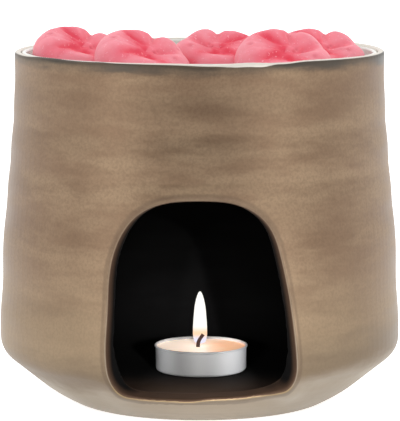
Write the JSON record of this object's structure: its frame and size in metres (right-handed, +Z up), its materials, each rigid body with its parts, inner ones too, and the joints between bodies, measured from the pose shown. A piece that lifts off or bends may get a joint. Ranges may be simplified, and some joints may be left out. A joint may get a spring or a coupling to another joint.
{
  "type": "essential oil burner",
  "caption": "Thrown stoneware oil burner: a tealight behind an arched opening warms scented wax melts in a lift-out dish that closes the top of the pot.",
  "frame": {"origin": "centre of the pot's flat foot, on the table", "axes": "+Z up through the pot's axis, -Y out of the arched opening, +X to the right as the opening is faced"},
  "size_m": [0.1622, 0.1582, 0.1514],
  "materials": {
    "bronze_glaze": "satin bronze glaze over thrown stoneware, streaked down the wall and mottled along the throwing rings",
    "cream_glaze": "gloss cream glaze",
    "pink_wax": "soft waxy pink, paler on the crests and redder in the valleys",
    "cup_foil": "satin, faintly ribbed",
    "candle_wax": "soft waxy white, molten round the wick",
    "burnt_wick": "matt, charred",
    "tab_tin": "dull tin"
  },
  "bodies": {
    "pot": {"pot_body": "bronze_glaze"},
    "dish": {"melt_dish": "cream_glaze", "wax_melt_1": "pink_wax", "wax_melt_2": "pink_wax", "wax_melt_3": "pink_wax", "wax_melt_4": "pink_wax", "wax_melt_5": "pink_wax"},
    "tealight": {"tealight_cup": "cup_foil", "tealight_wax": "candle_wax", "tealight_wick": "burnt_wick", "wick_tab": "tab_tin"}
  },
  "joints": [
    {"name": "dish_lift", "type": "slide", "parent": "pot", "child": "dish", "axis": [0, 0, 1], "range_m": [0, 0.06]},
    {"name": "tealight_out", "type": "slide", "parent": "pot", "child": "tealight", "axis": [0, -0.9976, 0.0698], "range_m": [0, 0.12]}
  ]
}
